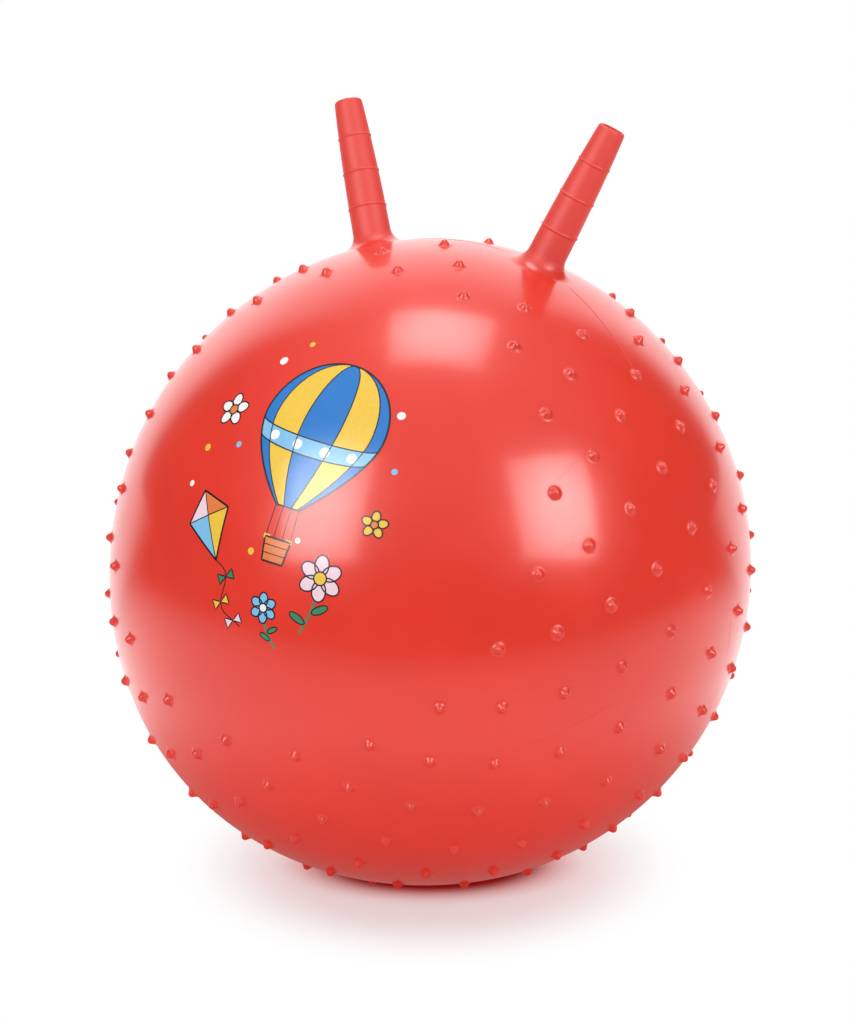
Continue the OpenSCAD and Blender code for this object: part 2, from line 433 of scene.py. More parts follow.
class NodeTree:
    """Short ways to add nodes to the tree of a material, a lamp or the world."""

    NOISE_SPAN = (0.3, 0.7)

    def __init__(self, owner, place):
        owner.use_nodes = True
        self.nodes = owner.node_tree.nodes
        self.links = owner.node_tree.links
        self.place = self.nodes.new("ShaderNodeTexCoord").outputs[place]

    def join(self, source, target):
        """Links an output to an input."""
        self.links.new(source, target)

    def noise(self, scale, detail=2.0):
        """A soft random pattern between 0 and 1."""
        node = self.nodes.new("ShaderNodeTexNoise")
        node.inputs["Scale"].default_value = scale
        node.inputs["Detail"].default_value = detail
        self.join(self.place, node.inputs["Vector"])
        return node.outputs["Fac"]

    def patches(self, scale, low, high, detail=2.0):
        """A soft random pattern between two numbers."""
        return self.span(self.noise(scale, detail), *self.NOISE_SPAN, low, high)

    def span(self, value, low, high, to_low, to_high, smooth=False):
        """Maps a value from one span to another."""
        node = self.nodes.new("ShaderNodeMapRange")
        node.interpolation_type = "SMOOTHSTEP" if smooth else "LINEAR"
        limits = {"From Min": low, "From Max": high, "To Min": to_low, "To Max": to_high}
        for socket, number in limits.items():
            node.inputs[socket].default_value = number
        self.join(value, node.inputs["Value"])
        return node.outputs["Result"]

    def vector(self, operation, first, second):
        """A number from vector maths on a place and, where it needs one, a fixed direction."""
        node = self.nodes.new("ShaderNodeVectorMath")
        node.operation = operation
        self.join(first, node.inputs[0])
        if second is not None:
            node.inputs[1].default_value = second
        return node.outputs["Value"]

    def maths(self, operation, first, second):
        """A number from maths on two outputs or numbers."""
        node = self.nodes.new("ShaderNodeMath")
        node.operation = operation
        for socket, value in zip(node.inputs, (first, second)):
            if isinstance(value, (int, float)):
                socket.default_value = value
            else:
                self.join(value, socket)
        return node.outputs["Value"]

    def mixed(self, share, first, second):
        """A colour between two colours."""
        node = self.nodes.new("ShaderNodeMix")
        node.data_type = "RGBA"
        self.join(share, node.inputs["Factor"])
        ends = [socket for socket in node.inputs if socket.type == "RGBA"]
        for socket, end in zip(ends, (first, second)):
            socket.default_value = (*end, 1.0)
        return next(o for o in node.outputs if o.type == "RGBA")

    def emission(self, colour_value, strength):
        """A shader that glows in a fixed colour, or in the colour of a socket."""
        node = self.nodes.new("ShaderNodeEmission")
        if isinstance(colour_value, bpy.types.NodeSocket):
            self.join(colour_value, node.inputs["Color"])
        else:
            node.inputs["Color"].default_value = (*colour_value, 1.0)
        self.join(strength, node.inputs["Strength"])
        return node.outputs["Emission"]

    def blended(self, share, first, second):
        """A shader between two shaders."""
        node = self.nodes.new("ShaderNodeMixShader")
        self.join(share, node.inputs["Fac"])
        self.join(first, node.inputs[1])
        self.join(second, node.inputs[2])
        return node.outputs["Shader"]

    def bump(self, height, distance, strength, below=None):
        """Surface directions tilted by a height pattern, over another bump where one is given."""
        node = self.nodes.new("ShaderNodeBump")
        node.inputs["Distance"].default_value = distance
        node.inputs["Strength"].default_value = strength
        self.join(height, node.inputs["Height"])
        if below is not None:
            self.join(below, node.inputs["Normal"])
        return node.outputs["Normal"]

    def hairlines(self):
        """Fine scratches: the thin edges between long cells."""
        place = self.nodes.new("ShaderNodeMapping")
        place.inputs["Rotation"].default_value = SCRATCH_TURN
        place.inputs["Scale"].default_value = SCRATCH_STRETCH
        self.join(self.place, place.inputs["Vector"])
        cells = self.nodes.new("ShaderNodeTexVoronoi")
        cells.feature = "DISTANCE_TO_EDGE"
        cells.inputs["Scale"].default_value = SCRATCH_SCALE
        self.join(place.outputs["Vector"], cells.inputs["Vector"])
        return self.span(cells.outputs["Distance"], 0.0, SCRATCH_WIDTH, 1.0, 0.0, smooth=True)


class Shading(NodeTree):
    """A node material with one glossy surface shader."""

    def __init__(self, name):
        self.material = bpy.data.materials.new(name)
        super().__init__(self.material, "Object")
        self.surface = self.nodes["Principled BSDF"]


def shade(colour_value, factor):
    """A colour made darker or lighter by a factor."""
    return tuple(min(1.0, c * factor) for c in colour_value)


def moulded_pvc(name, colour_value, gloss, haze, matte=None, scuff=None):
    """Soft PVC with a clear gloss over a hazy one: faint mottling, grain and slow ripples.

    A matte finish, where one is given, is a middle, the distances from it between which the gloss ends,
    and the roughness beyond. A scuff is a middle and the distances between which its scratches end."""
    look = Shading(name)
    surface = look.surface.inputs
    mottling = look.patches(scale=11.0, low=0.0, high=1.0, detail=3.0)
    tone = look.mixed(mottling, shade(colour_value, 0.95), shade(colour_value, 1.04))
    look.join(tone, surface["Base Color"])
    unevenness = look.patches(scale=45.0, low=-0.015, high=0.02)
    clear = look.maths("ADD", unevenness, gloss)
    soft = look.maths("ADD", unevenness, haze)
    ripples = look.bump(look.noise(scale=17.0, detail=1.0), distance=0.6 * MM, strength=0.25)
    relief = look.bump(look.noise(scale=900.0), distance=0.05 * MM, strength=0.4, below=ripples)
    if matte is not None:
        middle, near, far, roughness = matte
        away = look.vector("DISTANCE", look.place, middle)
        clear = look.maths("ADD", clear, look.span(away, near, far, 0.0, roughness - gloss, smooth=True))
        soft = look.maths("ADD", soft, look.span(away, near, far, 0.0, roughness - haze, smooth=True))
    if scuff is not None:
        middle, near, far = scuff
        away = look.vector("DISTANCE", look.place, middle)
        within = look.span(away, near, far, 1.0, 0.0, smooth=True)
        scratches = look.maths("MULTIPLY", look.hairlines(), within)
        clear = look.maths("ADD", clear, look.maths("MULTIPLY", scratches, SCRATCH_ROUGHNESS))
        relief = look.bump(scratches, SCRATCH_DEPTH, strength=0.5, below=relief)
    look.join(clear, surface["Coat Roughness"])
    look.join(soft, surface["Roughness"])
    surface["Coat Weight"].default_value = CLEAR_SHARE
    look.join(relief, surface["Normal"])
    look.join(relief, surface["Coat Normal"])
    surface["IOR"].default_value = PVC_IOR
    surface["Coat IOR"].default_value = PVC_IOR
    surface["Specular IOR Level"].default_value = PLAIN_SPECULAR * (1.0 - CLEAR_SHARE)
    return look.material


def printed_ink(name, colour_value):
    """A thin glossy ink film with faint unevenness."""
    look = Shading(name)
    surface = look.surface.inputs
    cover = look.span(look.noise(scale=420.0, detail=3.0), low=0.35, high=0.65, to_low=0.0, to_high=1.0)
    tone = look.mixed(cover, shade(colour_value, 0.97), shade(colour_value, 1.03))
    look.join(tone, surface["Base Color"])
    look.join(look.patches(scale=60.0, low=0.18, high=0.24), surface["Roughness"])
    grain = look.bump(look.noise(scale=1200.0), distance=0.02 * MM, strength=0.3)
    look.join(grain, surface["Normal"])
    surface["IOR"].default_value = INK_IOR
    return look.material


def moulded_plastic(name, colour_value):
    """Satin hard plastic with a fine moulded grain."""
    look = Shading(name)
    surface = look.surface.inputs
    mottling = look.patches(scale=60.0, low=0.0, high=1.0)
    tone = look.mixed(mottling, shade(colour_value, 0.95), shade(colour_value, 1.03))
    look.join(tone, surface["Base Color"])
    look.join(look.patches(scale=400.0, low=0.34, high=0.46), surface["Roughness"])
    grain = look.bump(look.noise(scale=1500.0), distance=0.04 * MM, strength=0.4)
    look.join(grain, surface["Normal"])
    surface["IOR"].default_value = PLASTIC_IOR
    return look.material


def skin_material(settings):
    """The one PVC of the skin, its lines and horns: glossy on the ball and matte up the horns."""
    known = bpy.data.materials.get("Glossy_Red_PVC")
    if known is not None:
        return known
    ball = settings.ball
    shape = BallShape(settings)
    near = shape.radius + ball.crown_swell
    far = near + settings.horns.fillet * MATTE_RAMP
    return moulded_pvc("Glossy_Red_PVC", ball.skin, ball.gloss, ball.haze,
                       matte=(shape.middle, near, far, ball.grip),
                       scuff=(shape.skin_point(SCUFF_DIRECTION), *SCUFF_REACH))


def nub_material(settings):
    """The same PVC on the nubs, which the mould leaves a little rougher."""
    nubs = settings.nubs
    known = bpy.data.materials.get("Satin_Nub_PVC")
    return known or moulded_pvc("Satin_Nub_PVC", settings.ball.skin, nubs.gloss, nubs.haze)


# Operators, one for each piece or group of like pieces

class HOPPER_OT_skin(bpy.types.Operator):
    """Build the inflated skin with its flat floor patch and the hole for the valve"""
    bl_idname = "hopper.skin"
    bl_label = "Ball Skin"

    CUTS = 71
    HOLE_PLAY = 0.05 * MM

    def execute(self, context):
        settings = context.scene.hopper
        ball = BallShape(settings)
        grid = bmesh.new()
        bmesh.ops.create_cube(grid, size=2.0)
        bmesh.ops.subdivide_edges(grid, edges=grid.edges[:], cuts=self.CUTS, use_grid_fill=True)
        hole_axis = -ball.panel
        hole_reach = settings.valve.barrel / 2 + self.HOLE_PLAY
        for vertex in grid.verts:
            evened = Vector(math.tan(c * math.pi / 4) for c in vertex.co)
            vertex.co = ball.skin_point(evened.normalized())
        self.cut_hole(grid, ball.middle, hole_axis, hole_reach)
        mesh = bpy.data.meshes.new("Ball_Skin")
        grid.to_mesh(mesh)
        grid.free()
        mesh.shade_smooth()
        mesh.materials.append(skin_material(settings))
        skin = bpy.data.objects.new("Ball_Skin", mesh)
        context.scene.collection.objects.link(skin)
        wall = skin.modifiers.new("Wall", "SOLIDIFY")
        wall.thickness = settings.ball.wall
        wall.offset = -1.0
        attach(skin, "ball")
        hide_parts("ball_skin")
        return {"FINISHED"}

    @staticmethod
    def cut_hole(grid, middle, axis, reach):
        """Opens a round hole about an axis through the middle and draws its edge onto the circle."""
        def offset(vertex):
            outward = vertex.co - middle
            return outward - axis * outward.dot(axis) if outward.dot(axis) > 0.0 else None

        def inside(vertex):
            away = offset(vertex)
            return away is not None and away.length < reach

        bmesh.ops.delete(grid, geom=[v for v in grid.verts if inside(v)], context="VERTS")
        for vertex in grid.verts:
            if vertex.is_boundary:
                away = offset(vertex)
                vertex.co += away.normalized() * (reach - away.length)


class HOPPER_OT_seams(bpy.types.Operator):
    """Build the fine raised lines where the mould halves met"""
    bl_idname = "hopper.seams"
    bl_label = "Parting Lines"

    SHAPE = ((-1.0, -0.2), (-0.55, 0.55), (0.0, 1.0), (0.55, 0.55), (1.0, -0.2))
    STEP = math.radians(0.6)
    HORN_ROOM = math.radians(5.6)
    LEAST_STEPS = 8

    # Parts that a line is counted in, of which the first and the last fade out
    FADE_PARTS = 6.0

    # Both ends of each faint line, as directions from the ball's middle
    FAINT_LINES = (
        (Vector((0.909, -0.380, -0.172)), Vector((0.500, -0.785, -0.366))),
        (Vector((0.991, 0.127, -0.044)), Vector((0.972, 0.137, -0.193))),
    )

    def execute(self, context):
        settings = context.scene.hopper
        ball = BallShape(settings)
        seam = settings.seam
        points = []
        faces = []
        crown_arc = settings.horns.spread - self.HORN_ROOM
        self.add_line(ball, ball.crown, Vector((1.0, 0.0, 0.0)), -crown_arc, crown_arc,
                      seam.width, seam.height, points, faces)
        for side in (-1, 1):
            root = HornShape(settings, side).root_direction
            front = Vector((0.0, -ball.crown.z, ball.crown.y))
            outward = front.cross(root) * -side
            along = outward * math.cos(seam.turn) + front * math.sin(seam.turn)
            self.add_line(ball, root, along, self.HORN_ROOM, seam.reach,
                          seam.width, seam.height, points, faces)
        for first, last in self.FAINT_LINES:
            along = (last - first * last.dot(first)).normalized()
            self.add_line(ball, first.normalized(), along, 0.0, first.angle(last),
                          seam.faint_width, seam.faint_height, points, faces)
        lines = make_piece("Parting_Lines", points, faces, skin_material(settings), solid=False)
        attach(lines, "ball")
        return {"FINISHED"}

    def add_line(self, ball, zero, side, start, end, width, height, points, faces):
        """Adds a raised line along the great circle through two directions, fading out at its ends."""
        steps = max(self.LEAST_STEPS, round((end - start) / self.STEP))
        square = zero.cross(side).normalized()
        rows = []
        for i in range(steps + 1):
            turn = start + (end - start) * i / steps
            along = zero * math.cos(turn) + side * math.sin(turn)
            fade = min(1.0, self.FADE_PARTS * i / steps, self.FADE_PARTS * (steps - i) / steps)
            row = []
            for across, rise in self.SHAPE:
                direction = (along + square * (across * width / 2 / ball.radius)).normalized()
                lift = rise * height * (fade if rise > 0.0 else 1.0)
                row.append(ball.skin_point(direction, lift))
            rows.append(add_row(points, row))
        faces += joined_rows(rows, closed=False)


class HOPPER_OT_nubs(bpy.types.Operator):
    """Build the grip nubs, one piece for each ring round the front panel"""
    bl_idname = "hopper.nubs"
    bl_label = "Grip Nubs"

    SEGMENTS = 24
    SHARES = (0.05, 0.1, 0.15, 0.2, 0.26, 0.32, 0.39, 0.46, 0.54, 0.63, 0.74, 0.86, 1.0)
    BLUNTNESS = 2.9
    SINK = 0.06 * MM
    BASE_SINK = 0.6 * MM

    def execute(self, context):
        settings = context.scene.hopper
        ball = BallShape(settings)
        nubs = settings.nubs
        horns = [HornShape(settings, side) for side in (-1, 1)]
        for number, node in enumerate(RING_NODES):
            points = []
            faces = []
            polar = nubs.first_ring + number * nubs.ring_step
            for i in range(nubs.per_ring):
                turn = nubs.turn + (i + (number % 2) / 2) * FULL_TURN / nubs.per_ring
                direction = ball.panel_direction(polar, turn)
                if self.fits(ball, nubs, horns, direction):
                    self.add_nub(ball, nubs, direction, points, faces)
            ring = make_piece(f"Nub_Ring_{number + 1}", points, faces, nub_material(settings))
            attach(ring, "ball")
            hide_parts(node)
        return {"FINISHED"}

    @staticmethod
    def fits(ball, nubs, horns, direction):
        """A nub is left out where it would reach the floor or crowd the root of a horn."""
        tip_height = ball.middle.z + (ball.radius + nubs.height) * direction.z
        crowded = any(direction.angle(h.root_direction) * ball.radius < nubs.horn_room for h in horns)
        return tip_height > nubs.floor_gap and not crowded

    def rise(self, nubs, reach):
        """Height of a nub at a distance from its middle: a round tip on a soft spreading foot."""
        return nubs.height * math.exp(-(reach / nubs.width) ** self.BLUNTNESS)

    def add_nub(self, ball, nubs, direction, points, faces):
        """Adds one closed nub: its tip, its rows from the tip to the foot, and a base sunk in the skin."""
        first, second = side_directions(direction)

        def place(reach, turn, rise):
            tilt = (first * math.cos(turn) + second * math.sin(turn)) * (reach / ball.radius)
            return ball.skin_point((direction + tilt).normalized(), rise)

        rises = [self.rise(nubs, share * nubs.foot) - self.SINK * share ** 4 for share in self.SHARES]
        profile = [*zip(self.SHARES, rises), (1.0, -self.BASE_SINK)]
        top = add_row(points, [ball.skin_point(direction, nubs.height)])
        rows = []
        for share, rise in profile:
            places = [place(share * nubs.foot, turn, rise) for turn in even_turns(self.SEGMENTS)]
            rows.append(add_row(points, places))
        base = add_row(points, [ball.skin_point(direction, -self.BASE_SINK)])
        faces += fan_faces(top[0], rows[0]) + joined_rows(rows[::-1]) + fan_faces(base[0], rows[-1])


class HOPPER_OT_horns(bpy.types.Operator):
    """Build both grip horns, each with its soft root, raised rings and dished tip"""
    bl_idname = "hopper.horns"
    bl_label = "Horns"

    SEGMENTS = 72
    FILLET_STEPS = 16
    SIDE_STEP = 4.0 * MM
    FILLET_GAP = 1.5 * MM
    RING_SHAPE = (-1.6, -1.0, -0.75, -0.4, 0.0, 0.4, 0.75, 1.0, 1.6)
    RING_FULLNESS = 0.75
    DISH_CORNER = 1.5 * MM
    DISH_MIDDLE = 0.45
    SINK = 0.06 * MM
    BASE_SINK = 1.2 * MM

    def execute(self, context):
        settings = context.scene.hopper
        for side, name in ((-1, "left"), (1, "right")):
            horn = HornShape(settings, side)
            points, faces = self.build(horn)
            piece = make_piece(f"{name.capitalize()}_Horn", points, faces,
                               skin_material(settings))
            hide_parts(f"{name}_horn")
            tuple(horn.point(0.0, 0.0, horn.horns.bend_start))
            tuple(horn.point(0.0, 0.0, horn.horns.bend_end))
            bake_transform(piece)
        return {"FINISHED"}

    def build(self, horn):
        """A closed mesh: sunk base, fillet that follows the skin, ringed side, lip and dish."""
        sizes = horn.horns
        fillet = sizes.fillet
        stem = horn.radius(fillet)
        points = []
        rows = []

        def add_ring(place):
            rows.append(add_row(points, [place(turn) for turn in even_turns(self.SEGMENTS)]))

        def fillet_row(share, sink):
            turn = math.pi / 2 * (1.0 - share)
            reach = stem + fillet * (1.0 - math.cos(turn))
            rise = fillet * (1.0 - math.sin(turn))
            add_ring(lambda spoke: horn.point(spoke, reach, horn.skin_height(spoke, reach) + rise - sink))

        fillet_row(0.0, self.BASE_SINK)
        for i in range(self.FILLET_STEPS + 1):
            share = i / self.FILLET_STEPS
            fillet_row(share, self.SINK * (1.0 - share) ** 4)
        for reach, height in self.side_profile(horn) + self.tip_profile(horn):
            add_ring(lambda spoke: horn.point(spoke, reach, height))
        base = add_row(points, [horn.point(0.0, 0.0, horn.skin_height(0.0, 0.0) - self.BASE_SINK)])
        dish = add_row(points, [horn.point(0.0, 0.0, sizes.length - sizes.dish)])
        faces = joined_rows(rows) + fan_faces(base[0], rows[0]) + fan_faces(dish[0], rows[-1])
        return points, faces

    def side_profile(self, horn):
        """Side of the horn above its fillet, with the raised rings."""
        sizes = horn.horns
        stem = horn.radius(sizes.fillet)
        root_top = max(horn.skin_height(turn, stem) for turn in even_turns(self.SEGMENTS))
        start = root_top + sizes.fillet + self.FILLET_GAP
        end = sizes.length - sizes.tip_round
        ring_heights = {}
        for k in range(sizes.ring_count):
            middle = sizes.ring_start + k * sizes.ring_step
            for s in self.RING_SHAPE:
                share = max(0.0, 1.0 - s * s) ** self.RING_FULLNESS
                ring_heights[middle + s * sizes.ring_width / 2] = share
        plain = [start + i * self.SIDE_STEP for i in range(int((end - start) / self.SIDE_STEP))]
        clear = [h for h in plain if all(abs(h - r) > sizes.ring_width for r in ring_heights)]
        heights = sorted(clear + list(ring_heights))
        return [(horn.radius(h) + sizes.ring_height * ring_heights.get(h, 0.0), h) for h in heights]

    def tip_profile(self, horn):
        """Rounded lip and the dish inside it."""
        sizes = horn.horns
        outer_r = sizes.tip_round
        inner_r = sizes.lip - outer_r
        inner = sizes.tip / 2 - sizes.lip
        floor = sizes.length - sizes.dish
        corner = self.DISH_CORNER
        edge = rounded(sizes.tip / 2 - outer_r, sizes.length - outer_r, outer_r, 0, 90, steps=8)
        edge += rounded(inner + inner_r, sizes.length - inner_r, inner_r, 90, 180, steps=4)[1:]
        bend = rounded(inner - corner, floor + corner, corner, 0, -90, steps=5)
        return edge + bend + [(inner * self.DISH_MIDDLE, floor)]


class HOPPER_OT_valve(bpy.types.Operator):
    """Build the valve insert and its push-in plug on the back"""
    bl_idname = "hopper.valve"
    bl_label = "Valve"

    SEGMENTS = 72
    SHARP = math.radians(50)
    INSERT_GLOSS = 0.3
    INSERT_HAZE = 0.45
    SEAT_GAP = 0.1 * MM

    def execute(self, context):
        settings = context.scene.hopper
        ball = BallShape(settings)
        valve = settings.valve
        axis = -ball.panel
        foot = ball.middle + axis * ball.radius
        profile = self.insert_profile(ball, valve)
        insert_points, insert_faces = lathe(profile, foot, axis, self.SEGMENTS, hollow=True)
        satin = moulded_pvc("Satin_Red_PVC", valve.insert, self.INSERT_GLOSS, self.INSERT_HAZE)
        insert = make_piece("Valve_Insert", insert_points, insert_faces, satin, self.SHARP)
        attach(insert, "ball")
        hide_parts("valve_insert")
        plug_points, plug_faces = lathe(self.plug_profile(valve), foot, axis, self.SEGMENTS)
        plug = make_piece("Valve_Plug", plug_points, plug_faces,
                          moulded_plastic("Ivory_Plastic", valve.plug), self.SHARP)
        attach(plug, "plug")
        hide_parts("valve_plug")
        return {"FINISHED"}

    @staticmethod
    def insert_profile(ball, valve):
        """Half section of the insert, all the way round, because the bore runs right through it."""
        flange = valve.flange / 2
        barrel = valve.barrel / 2
        bore = valve.bore / 2
        top = valve.flange_height
        edge = 0.5 * MM
        shoulder = 0.5 * MM
        sag = ball.radius - math.sqrt(ball.radius ** 2 - flange ** 2)
        rim_drop = sag * 0.6
        crown = flange * 0.72
        rim = rounded(flange - edge, top - edge - rim_drop, edge, 0, 80)
        mouth = rounded(bore + edge, top - edge, edge, 90, 180)
        section = [(barrel, -valve.barrel_length), (barrel, -shoulder), (flange, -sag)]
        section += rim + [(crown, top)] + mouth
        return section + [(bore, -valve.barrel_length)]

    def plug_profile(self, valve):
        """Half section of the plug, from its nose to the shallow dimple in its head."""
        head = valve.plug_head / 2
        shank = valve.bore / 2 - valve.plug_play
        seat = valve.flange_height + self.SEAT_GAP
        top = seat + valve.plug_height
        edge = 0.8 * MM
        nose = 2.0 * MM
        dimple = 0.7 * MM
        dimple_side = 0.5 * MM
        section = [(0.0, -valve.plug_shank - nose)]
        section += rounded(shank * 0.7 - edge, -valve.plug_shank - nose + edge, edge, -90, -20)
        section += [(shank, -valve.plug_shank), (shank, seat), (head - edge, seat)]
        section += rounded(head - edge, seat + edge, edge, -90, 0)
        section += rounded(head - edge, top - edge, edge, 0, 90)
        section += [(head * 0.55, top), (head * 0.4, top - dimple_side), (0.0, top - dimple)]
        return section


class InkSheet:
    """Printed shapes on the front panel, gathered by ink, in millimetres from the panel's middle."""

    # Step along an outline in millimetres, and the most of them from ring to ring of a filled shape
    STEP = 3.0
    RING_STEPS = 1.5
    LIFT = 0.05 * MM

    def __init__(self, settings):
        self.ball = BallShape(settings)
        self.film = settings.front.film
        self.inks = {}

    def add(self, ink, level, points, faces):
        """Lays a flat mesh of an ink on the skin, on top of the films of the lower levels."""
        stored_points, stored_faces = self.inks.setdefault(ink, ([], []))
        start = len(stored_points)
        rise = self.LIFT + level * self.film
        stored_points += [self.ball.panel_point(x * MM, y * MM, rise) for x, y in points]
        stored_faces += [tuple(start + i for i in face) for face in faces]

    def fill(self, ink, level, outline):
        """A filled shape whose whole outline can be seen from its middle."""
        outline = resampled(outline, self.STEP, closed=True)
        n = len(outline)
        middle = (sum(p[0] for p in outline) / n, sum(p[1] for p in outline) / n)
        reach = max(math.dist(middle, p) for p in outline)
        rings = max(1, math.ceil(reach / self.STEP / self.RING_STEPS))
        points = [middle]
        rows = []
        for k in range(1, rings + 1):
            share = k / rings
            rows.append(add_row(points, [between(middle, p, share) for p in outline]))
        faces = fan_faces(0, rows[0]) + joined_rows(rows[::-1])
        self.add(ink, level, points, upward(points, faces))

    def strip(self, ink, level, left, right, steps):
        """A filled shape between two lines with as many points."""
        points = []
        rows = []
        for a, b in zip(left, right):
            rows.append(add_row(points, [between(a, b, k / steps) for k in range(steps + 1)]))
        self.add(ink, level, points, upward(points, joined_rows(rows, closed=False)))

    def stroke(self, ink, level, line, width, closed=False):
        """A line of even width along points."""
        line = resampled(line, self.STEP / 2, closed)
        n = len(line)
        left = []
        right = []
        for i, (x, y) in enumerate(line):
            before = line[i - 1] if closed or i else line[i]
            after = line[(i + 1) % n] if closed or i < n - 1 else line[i]
            along = Vector((after[0] - before[0], after[1] - before[1])).normalized()
            side = Vector((-along.y, along.x)) * (width / 2)
            left.append((x + side.x, y + side.y))
            right.append((x - side.x, y - side.y))
        if closed:
            left.append(left[0])
            right.append(right[0])
        self.strip(ink, level, left, right, 1)


def between(a, b, share):
    """The place at a share of the way from one place to another."""
    return a[0] + (b[0] - a[0]) * share, a[1] + (b[1] - a[1]) * share


def upward(points, faces):
    """Faces turned so that they all face out of the panel."""
    turned = []
    for face in faces:
        area = 0.0
        for a, b in zip(face, face[1:] + face[:1]):
            area += points[a][0] * points[b][1] - points[b][0] * points[a][1]
        turned.append(face if area > 0.0 else face[::-1])
    return turned


def resampled(line, step, closed):
    """The same line with points no further apart than a step; its own points stay."""
    result = []
    pairs = zip(line, line[1:] + line[:1]) if closed else zip(line, line[1:])
    for a, b in pairs:
        pieces = max(1, math.ceil(math.dist(a, b) / step))
        result += [between(a, b, k / pieces) for k in range(pieces)]
    if not closed:
        result.append(line[-1])
    return result


def oval(x, y, across, up, turn=0.0, points=40):
    """Outline of an oval, turned by some degrees."""
    outline = [(across * math.cos(a), up * math.sin(a)) for a in even_turns(points)]
    return moved(outline, x, y, turn)


def moved(points, x, y, turn):
    """Points turned by some degrees about their origin, then moved."""
    cosine = math.cos(math.radians(turn))
    sine = math.sin(math.radians(turn))
    return [(x + cosine * px - sine * py, y + sine * px + cosine * py) for px, py in points]


